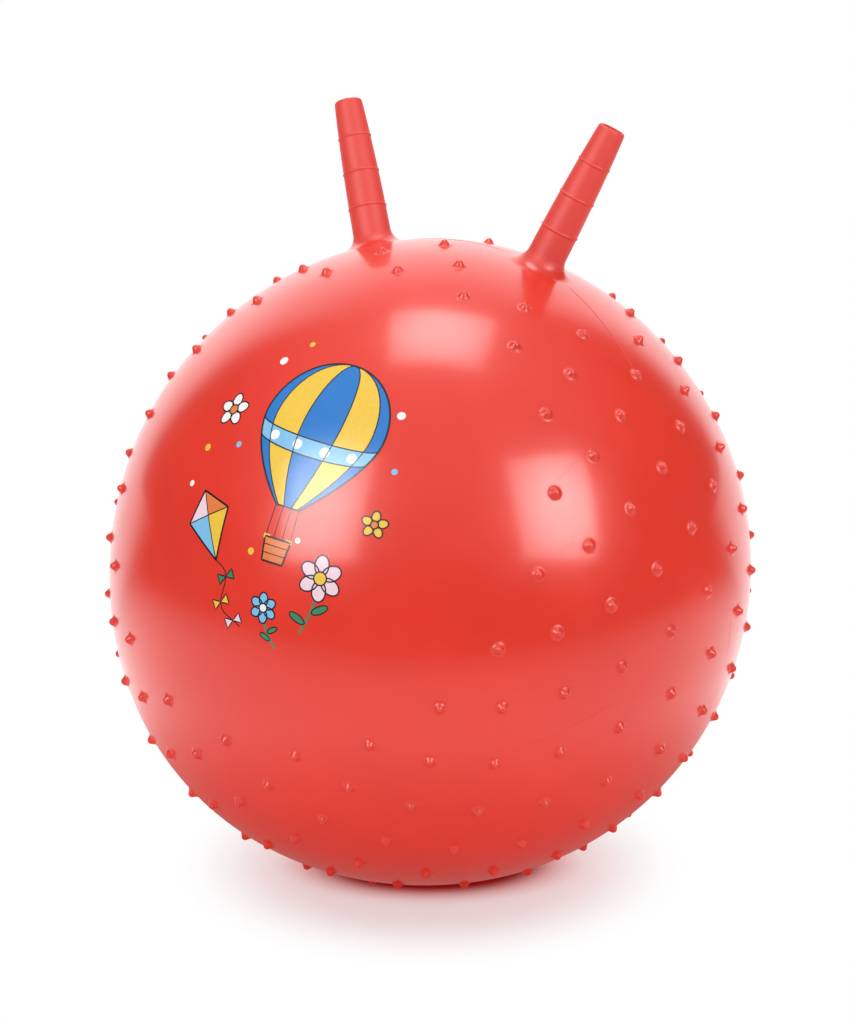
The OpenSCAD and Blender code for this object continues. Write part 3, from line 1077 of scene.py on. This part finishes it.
class HOPPER_OT_print(bpy.types.Operator):
    """Build the printed front panel: a hot-air balloon, a kite, flowers and dots"""
    bl_idname = "hopper.print"
    bl_label = "Front Print"

    # Places on the panel in millimetres from its middle, with a turn in degrees
    BALLOON = (20, 34, -7)
    KITE = (-47, -34, 24)

    # Each flower: place, size, petals, inks of the petals and the heart, lean of its stem if it has one
    FLOWERS = (
        (46, -58, 15, 6, "pink", "yellow", -12),
        (-54, 47, 12, 5, "white", "orange", None),
        (76, -16, 9, 5, "yellow", "orange", None),
        (6, -84, 10, 6, "sky", "white", 10),
    )

    # Each dot: place, radius and ink
    DOTS = (
        (-30, 88, 3.2, "white"),
        (-66, 18, 2.6, "yellow"),
        (72, 62, 3, "white"),
        (-8, -48, 2.4, "yellow"),
        (80, 22, 2.2, "sky"),
        (-38, 22, 2.2, "sky"),
        (26, -36, 2, "white"),
        (-72, -8, 2.2, "white"),
        (-14, 104, 2.2, "yellow"),
    )

    def execute(self, context):
        settings = context.scene.hopper
        sheet = InkSheet(settings)
        width = settings.front.outline / MM
        self.balloon(sheet, *self.BALLOON, width)
        self.kite(sheet, *self.KITE, width)
        for x, y, size, petals, petal_ink, heart_ink, lean in self.FLOWERS:
            self.flower(sheet, x, y, size, petals, petal_ink, heart_ink, width, lean)
        for x, y, size, ink in self.DOTS:
            sheet.fill(ink, 0, oval(x, y, size, size, points=20))
        for ink, (points, faces) in sheet.inks.items():
            film = make_piece(f"Print_{ink.capitalize()}", points, faces,
                              printed_ink(f"Ink_{ink.capitalize()}", getattr(settings.front, ink)),
                              solid=False)
            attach(film, "ball")
        return {"FINISHED"}

    @staticmethod
    def balloon(sheet, x, y, turn, width):
        """A striped hot-air balloon with its basket."""
        top, waist, mouth, half, throat = 58.0, 10.0, -50.0, 46.0, 9.0
        band_drop, band_sag, band_height = 5.0, 7.0, 12.0
        basket_top, basket_foot = -72, -88
        narrowing = 1.7
        steps = 30
        rises = [(1 - math.cos(math.pi * i / steps)) / 2 for i in range(steps + 1)]
        heights = [mouth + (top - mouth) * rise for rise in rises]

        def reach(h):
            """Half the width of the balloon at a height."""
            if h >= waist:
                return half * math.sqrt(max(0.0, 1.0 - ((h - waist) / (top - waist)) ** 2))
            return half - (half - throat) * ((waist - h) / (waist - mouth)) ** narrowing

        def band_line(shares, drop):
            """A sagging line across the balloon, so far below its waist."""
            sags = [waist - drop - band_sag * math.sqrt(1 - f * f) for f in shares]
            return moved([(f * reach(h), h) for f, h in zip(shares, sags)], x, y, turn)

        seams = [math.sin(math.radians(a)) for a in (-90, -54, -18, 18, 54, 90)]
        lines = [moved([(f * reach(h), h) for h in heights], x, y, turn) for f in seams]
        for i, ink in enumerate(("blue", "yellow", "blue", "yellow", "blue")):
            sheet.strip(ink, 0, lines[i], lines[i + 1], 6)
        for line in lines[1:-1]:
            sheet.stroke("dark", 2, line, width * 0.6)
        sheet.stroke("dark", 2, lines[0] + lines[-1][::-1], width, closed=True)
        shares = [math.sin(math.radians(a)) for a in range(-90, 91, 6)]
        upper = band_line(shares, band_drop)
        lower = band_line(shares, band_drop + band_height)
        sheet.strip("sky", 1, upper, lower, 3)
        sheet.stroke("dark", 2, upper, width * 0.7)
        sheet.stroke("dark", 2, lower, width * 0.7)
        for px, py in band_line((-0.72, -0.26, 0.26, 0.72), band_drop + band_height / 2):
            sheet.fill("white", 2, oval(px, py, 3.6, 3.6, points=20))
        basket = [(-10, basket_top), (10, basket_top), (8, basket_foot), (-8, basket_foot)]
        for f in (-1, -0.35, 0.35, 1):
            rope = [(f * throat, mouth), (f * 9.6, basket_top)]
            sheet.stroke("dark", 0, moved(rope, x, y, turn), width * 0.55)
        sheet.fill("orange", 1, moved(basket, x, y, turn))
        sheet.stroke("dark", 2, moved(basket, x, y, turn), width, closed=True)
        for h in (-77, -82.5):
            sheet.stroke("dark", 2, moved([(-9.2, h), (9.2, h)], x, y, turn), width * 0.5)
        sheet.strip("yellow", 3, moved([(-11, -70.4), (11, -70.4)], x, y, turn),
                    moved([(-11, -73.4), (11, -73.4)], x, y, turn), 2)

    @staticmethod
    def kite(sheet, x, y, turn, width):
        """A kite of four fields with a tail of bows."""
        left, up, right, down = (-18, 6), (0, 24), (18, 6), (0, -26)
        middle = (0, 6)
        corners = [left, up, right, down]
        for ink, a, b in zip(("pink", "orange", "yellow", "sky"), corners, corners[1:] + corners[:1]):
            sheet.fill(ink, 0, moved([middle, a, b], x, y, turn))
        for line in ([left, right], [up, down]):
            sheet.stroke("dark", 1, moved(line, x, y, turn), width * 0.6)
        sheet.stroke("dark", 1, moved(corners, x, y, turn), width, closed=True)
        tail = [(5.5 * math.sin(0.14 * s), -26 - s * 0.92) for s in range(0, 53, 2)]
        sheet.stroke("dark", 0, moved(tail, x, y, turn), width * 0.6)
        for k, ink in ((7, "green"), (15, "yellow"), (23, "pink")):
            px, py = tail[k]
            for side in (-1, 1):
                bow = [(px, py), (px + side * 6.5, py + 3.6), (px + side * 6.5, py - 3.6)]
                sheet.fill(ink, 1, moved(bow, x, y, turn))
                sheet.stroke("dark", 2, moved(bow, x, y, turn), width * 0.6, closed=True)

    @staticmethod
    def flower(sheet, x, y, size, petals, petal_ink, heart_ink, width, lean):
        """A round-petalled flower, with a stem and two leaves where a lean is given."""
        if lean is not None:
            line = [(x + lean * (s / 10) ** 2, y - size * 2.6 * s / 10) for s in range(11)]
            sheet.stroke("green", 0, line, width * 1.3)
            for s, side in ((6, 1), (8, -1)):
                px, py = line[s]
                half = size * 0.42
                leaf = oval(px + side * half, py + size * 0.16, half, size * 0.17, turn=side * 28)
                sheet.fill("green", 1, leaf)
                sheet.stroke("dark", 2, leaf, width * 0.6, closed=True)
        for k in range(petals):
            a = 360.0 * k / petals + 90
            px = x + size * 0.58 * math.cos(math.radians(a))
            py = y + size * 0.58 * math.sin(math.radians(a))
            petal = oval(px, py, size * 0.46, size * 0.33, turn=a)
            sheet.fill(petal_ink, 1, petal)
            sheet.stroke("dark", 2, petal, width * 0.75, closed=True)
        heart = oval(x, y, size * 0.3, size * 0.3, points=28)
        sheet.fill(heart_ink, 3, heart)
        sheet.stroke("dark", 4, heart, width * 0.75, closed=True)


class HOPPER_OT_stage(bpy.types.Operator):
    """Set the floor, the softboxes, the room light and the camera"""
    bl_idname = "hopper.stage"
    bl_label = "Stage"

    # Sizes in metres; a reach on the floor is counted from the ball's middle
    FLOOR_HALF = 30.0
    OVERHEAD_SIZE = 3.0
    OVERHEAD_HEIGHT = 2.6
    # Painted shadow: for the camera, white is painted over the floor's real shade in ovals about the
    # contact and further out
    CONTACT_REACH = (0.052, 0.09)
    CONTACT_STRETCH = 1.3
    CONTACT_PAINTED_WHITE = 0.5
    # Painted shade: within this reach of the contact the floor's own colour turns dark red, a painted
    # contact shadow
    CONTACT_PAINTED_SHADE_REACH = (0.05, 0.07)
    CONTACT_PAINTED_SHADE = (0.3, 0.06, 0.06)
    PAINTED_SHADOW_REACH = (0.1, 0.187)
    PAINTED_SHADOW_STRETCH = 1.15
    # Painted light: the floor glows red within this reach of the contact
    PAINTED_GLOW_REACH = (0.07, 0.14)
    # Painted shade and painted red in the floor's reflection round the ball
    MIRRORED_PAINTED_SHADE = (0.18, 0.44)
    MIRRORED_SHIFT = 0.06
    MIRRORED_PAINTED_RED = (1.0, 0.38, 0.36)
    TABLE_EDGE = (0.45, 1.15)
    TABLE_STRETCH = 1.5

    # Spans of how far a direction points to the backdrop, the ceiling or straight up
    TABLE_BACK = (0.45, 0.7)
    BACKDROP_TURN = math.radians(2.5)
    BACKDROP_SIDE = (0.72, 0.87)
    BACKDROP_RISE = (0.05, 0.3)
    BACKDROP_CROWN = 1.2
    BACKDROP_TOP = (0.6, 0.95)
    BACKDROP_FADE = 0.4
    CEILING_LEAN = math.radians(15)
    CEILING_RISE = (0.3, 0.9)
    LEAST_LEVEL = 0.01

    # How a softbox dims from its brightest place, in shares of its face and of its light
    SOFTBOX_EDGE = (0.2, 0.68)
    EDGE_SHARE = 0.45

    # Each softbox: name, turn from the camera and height angle in degrees, distance, width and height in
    # metres, roll in degrees, share of the light, and where across its face it is brightest
    SOFTBOXES = (
        ("Right_Softbox", 48.5, 28.8, 1.7, 0.83, 0.98, -13.0, 0.97, 0.58),
        ("Left_Softbox", -42.0, 30.9, 1.7, 0.84, 1.08, 11.0, 0.95, 0.42),
        ("Top_Softbox", 158.9, 84.1, 1.4, 0.64, 0.57, 16.0, 0.68, 0.5),
    )

    def execute(self, context):
        settings = context.scene.hopper
        stage = settings.stage
        ball = BallShape(settings)
        context.scene.view_settings.view_transform = "Standard"
        self.add_camera(context, stage, ball)
        self.add_floor(context, stage)
        self.add_room(context, stage)
        self.add_overhead(context, stage)
        for name, turn, lift, reach, across, up, roll, share, hot_spot in self.SOFTBOXES:
            outward = self.outlook(stage.azimuth + math.radians(turn), math.radians(lift))
            box = self.add_lamp(context, name, across, up, stage.softbox * share,
                                ball.middle + outward * reach, ball.middle)
            self.soften(box, roll, hot_spot)
        return {"FINISHED"}

    @staticmethod
    def outlook(turn, lift):
        """Direction from the ball at a turn about it and a height angle, in radians."""
        return Vector((math.sin(turn) * math.cos(lift), -math.cos(turn) * math.cos(lift), math.sin(lift)))

    def add_camera(self, context, stage, ball):
        back = self.outlook(stage.azimuth, stage.elevation)
        right = Vector((math.cos(stage.azimuth), math.sin(stage.azimuth), 0.0))
        up = back.cross(right)
        aim = ball.middle - right * stage.aim_side + up * stage.aim_rise
        data = bpy.data.cameras.new("Camera")
        data.sensor_fit = "VERTICAL"
        data.sensor_height = SENSOR_HEIGHT
        data.lens = stage.focal
        camera = bpy.data.objects.new("Camera", data)
        context.scene.collection.objects.link(camera)
        camera.location = ball.middle + back * stage.distance
        camera.rotation_euler = (aim - camera.location).to_track_quat("-Z", "Y").to_euler()
        context.scene.camera = camera

    def add_floor(self, context, stage):
        """A white table with a painted shadow: real shade lightened by painted white, a painted dark red
        core and a painted red glow; plain white around it, dark past its edge in the gloss.
        """
        mesh = bpy.data.meshes.new("Floor")
        grid = bmesh.new()
        bmesh.ops.create_grid(grid, x_segments=8, y_segments=8, size=self.FLOOR_HALF)
        grid.to_mesh(mesh)
        grid.free()
        look = Shading("Pale_Floor")
        look.nodes.remove(look.surface)
        matte = look.nodes.new("ShaderNodeBsdfDiffuse")
        camera = camera_sees(look)
        contact = self.floor_reach(look, stage, 0.0, self.CONTACT_STRETCH, 1.0)
        # painted shade: a dark red contact shadow painted into the floor's colour by the ball
        clear = look.span(contact, *self.CONTACT_PAINTED_SHADE_REACH, 0.0, 1.0, smooth=True)
        look.join(look.mixed(clear, self.CONTACT_PAINTED_SHADE, stage.floor), matte.inputs["Color"])
        shadow = self.floor_reach(look, stage, 0.0, 1.0, self.PAINTED_SHADOW_STRETCH)
        # painted light: the floor emits a red glow by the ball, seen by the camera and by bounced light
        # alike
        glow = look.span(contact, *self.PAINTED_GLOW_REACH, 1.0, 0.0, smooth=True)
        shaded = look.nodes.new("ShaderNodeAddShader")
        look.join(matte.outputs["BSDF"], shaded.inputs[0])
        look.join(look.emission(stage.glow, glow), shaded.inputs[1])
        # painted light: for the camera, white is mixed over the real shade in ovals about the contact,
        # shaping the shadow, and the floor turns plain white further out
        near = look.span(contact, *self.CONTACT_REACH, 0.0, self.CONTACT_PAINTED_WHITE, smooth=True)
        far = look.span(shadow, *self.PAINTED_SHADOW_REACH, 0.0, 1.0 - self.CONTACT_PAINTED_WHITE, smooth=True)
        white = look.maths("MULTIPLY", look.maths("ADD", near, far), camera)
        seen = look.blended(white, shaded.outputs["Shader"], look.emission((1.0, 1.0, 1.0), camera))
        mirrored = self.mirrored_table(look, stage)
        only_mirrored = look.maths("SUBTRACT", seen_directly(look), camera)
        surface = look.nodes["Material Output"].inputs["Surface"]
        look.join(look.blended(only_mirrored, seen, mirrored), surface)
        mesh.materials.append(look.material)
        floor = bpy.data.objects.new("Floor", mesh)
        context.scene.collection.objects.link(floor)

    def floor_reach(self, look, stage, shift, across, along):
        """Distance on the floor from a place behind the ball, in ovals across and along the view."""
        place = look.nodes.new("ShaderNodeMapping")
        place.vector_type = "TEXTURE"
        place.inputs["Location"].default_value = self.ahead(stage) * shift
        place.inputs["Rotation"].default_value = (0.0, 0.0, stage.azimuth)
        place.inputs["Scale"].default_value = (across, along, 1.0)
        look.join(look.place, place.inputs["Vector"])
        return look.vector("LENGTH", place.outputs["Vector"], None)

    def mirrored_table(self, look, stage):
        """The floor in the gloss: painted shade and painted red round the ball, white on the table, dark
        beside it.
        """
        reach = self.floor_reach(look, stage, 0.0, 1.0, 1.0)
        shade_reach = self.floor_reach(look, stage, self.MIRRORED_SHIFT, 1.0, 1.0)
        # painted shade and painted red: the floor's reflection darkens and reddens towards the ball
        shaded = look.span(shade_reach, *self.MIRRORED_PAINTED_SHADE, stage.painted_shade_table, stage.table, smooth=True)
        edge_reach = self.floor_reach(look, stage, 0.0, self.TABLE_STRETCH, 1.0)
        edge = look.span(edge_reach, *self.TABLE_EDGE, stage.table, stage.dark_side, smooth=True)
        facing = look.maths("DIVIDE", look.vector("DOT_PRODUCT", look.place, self.ahead(stage)), reach)
        behind = look.span(facing, *self.TABLE_BACK, 0.0, stage.backdrop, smooth=True)
        clear = look.span(shade_reach, *self.MIRRORED_PAINTED_SHADE, 0.0, 1.0, smooth=True)
        painted_red_tint = look.mixed(clear, self.MIRRORED_PAINTED_RED, (1.0, 1.0, 1.0))
        return look.emission(painted_red_tint, look.maths("MINIMUM", shaded, look.maths("MAXIMUM", edge, behind)))

    def ahead(self, stage):
        """Level direction from the camera towards the ball."""
        return -self.outlook(stage.azimuth, 0.0)

    def add_room(self, context, stage):
        """An even room light: white to the camera, and a backdrop and a pale ceiling in the gloss."""
        world = bpy.data.worlds.new("Room")
        context.scene.world = world
        look = NodeTree(world, "Generated")
        height = look.vector("DOT_PRODUCT", look.place, Vector((0.0, 0.0, 1.0)))
        behind = -self.outlook(stage.azimuth + self.BACKDROP_TURN, 0.0)
        facing = look.vector("DOT_PRODUCT", look.place, behind)
        upright = Vector((0.0, 0.0, math.cos(self.CEILING_LEAN)))
        lean = upright - self.ahead(stage) * math.sin(self.CEILING_LEAN)
        overhead = look.vector("DOT_PRODUCT", look.place, lean)
        ceiling = look.span(overhead, *self.CEILING_RISE, stage.dark_side, stage.ceiling, smooth=True)
        rest = look.maths("SUBTRACT", 1.0, look.maths("MULTIPLY", height, height))
        level = look.maths("SQRT", rest, 0.0)
        turned = look.maths("DIVIDE", facing, look.maths("MAXIMUM", level, self.LEAST_LEVEL))
        wall = look.span(turned, *self.BACKDROP_SIDE, 0.0, stage.backdrop, smooth=True)
        rise = look.span(height, *self.BACKDROP_RISE, 1.0, self.BACKDROP_CROWN, smooth=True)
        fade = look.span(height, *self.BACKDROP_TOP, 1.0, self.BACKDROP_FADE, smooth=True)
        backdrop = look.maths("MULTIPLY", look.maths("MULTIPLY", wall, rise), fade)
        mirrored = look.maths("MAXIMUM", ceiling, backdrop)
        camera = camera_sees(look)
        unseen = look.maths("SUBTRACT", 1.0, camera)
        direct = look.maths("ADD", camera, look.maths("MULTIPLY", mirrored, unseen))
        seen = seen_directly(look)
        shown = look.maths("MULTIPLY", direct, seen)
        hidden = look.maths("MULTIPLY", look.maths("SUBTRACT", 1.0, seen), stage.fill)
        ground = look.nodes["Background"]
        look.join(look.maths("ADD", shown, hidden), ground.inputs["Strength"])
        ground.inputs["Color"].default_value = (1.0, 1.0, 1.0, 1.0)

    def add_lamp(self, context, name, across, up, radiance, place, target):
        """A rectangular lamp of an even radiance that faces a target; the camera does not see it."""
        data = bpy.data.lights.new(name, "AREA")
        data.shape = "RECTANGLE"
        data.size = across
        data.size_y = up
        data.energy = radiance * math.pi * across * up
        lamp = bpy.data.objects.new(name, data)
        context.scene.collection.objects.link(lamp)
        lamp.location = place
        lamp.rotation_euler = (target - place).to_track_quat("-Z", "Y").to_euler()
        lamp.visible_camera = False
        return lamp

    def add_overhead(self, context, stage):
        """A broad panel overhead that gives soft light without a highlight."""
        share = self.OVERHEAD_SIZE ** 2 / (math.pi * self.OVERHEAD_HEIGHT ** 2)
        place = Vector((0.0, 0.0, self.OVERHEAD_HEIGHT))
        panel = self.add_lamp(context, "Overhead_Panel", self.OVERHEAD_SIZE, self.OVERHEAD_SIZE,
                              stage.overhead / share, place, Vector((0.0, 0.0, 0.0)))
        panel.visible_glossy = False

    def soften(self, box, roll, hot_spot):
        """Turns a lamp about its own axis, and makes it a softbox that only shows in the gloss."""
        box.rotation_euler.rotate_axis("Z", math.radians(roll))
        box.visible_diffuse = False
        look = NodeTree(box.data, "Object")
        face = look.nodes.new("ShaderNodeNewGeometry").outputs["Parametric"]
        off_middle = look.vector("DISTANCE", face, Vector((hot_spot, 0.5, 0.0)))
        glow = look.span(off_middle, *self.SOFTBOX_EDGE, 1.0, self.EDGE_SHARE, smooth=True)
        look.join(glow, look.nodes["Emission"].inputs["Strength"])


def camera_sees(look):
    """1 for what the camera sees straight, and 0 for all else."""
    return look.nodes.new("ShaderNodeLightPath").outputs["Is Camera Ray"]


def seen_directly(look):
    """1 for what the camera, a reflection or a clear material sees, and 0 for scattered light."""
    paths = look.nodes.new("ShaderNodeLightPath")
    glossy = look.maths("MAXIMUM", paths.outputs["Is Camera Ray"], paths.outputs["Is Glossy Ray"])
    return look.maths("MAXIMUM", glossy, paths.outputs["Is Transmission Ray"])


class HOPPER_PT_panel(bpy.types.Panel):
    """The hopper ball's pieces and settings"""
    bl_idname = "HOPPER_PT_panel"
    bl_label = "Hopper Ball"
    bl_space_type = "VIEW_3D"
    bl_region_type = "UI"
    bl_category = "Hopper Ball"

    def draw(self, context):
        settings = context.scene.hopper
        for operator, group in zip(OPERATORS, ("ball", "seam", "nubs", "horns", "front", "valve", "stage")):
            box = self.layout.box()
            box.operator(operator.bl_idname)
            values = getattr(settings, group)
            for name in values.__annotations__:
                box.prop(values, name)


OPERATORS = (
    HOPPER_OT_skin,
    HOPPER_OT_seams,
    HOPPER_OT_nubs,
    HOPPER_OT_horns,
    HOPPER_OT_print,
    HOPPER_OT_valve,
    HOPPER_OT_stage,
)
CLASSES = (
    BallSettings,
    SeamSettings,
    NubSettings,
    HornSettings,
    PrintSettings,
    ValveSettings,
    StageSettings,
    HopperSettings,
    *OPERATORS,
    HOPPER_PT_panel,
)


def register():
    for item in CLASSES:
        bpy.utils.register_class(item)
    bpy.types.Scene.hopper = PointerProperty(type=HopperSettings)


def unregister():
    del bpy.types.Scene.hopper
    for item in reversed(CLASSES):
        bpy.utils.unregister_class(item)


def main():
    register()
    bpy.ops.hopper.skin()
    bpy.ops.hopper.seams()
    bpy.ops.hopper.nubs()
    bpy.ops.hopper.horns()
    bpy.ops.hopper.print()
    bpy.ops.hopper.valve()
    bpy.ops.hopper.stage()


if __name__ == "__main__":
    main()
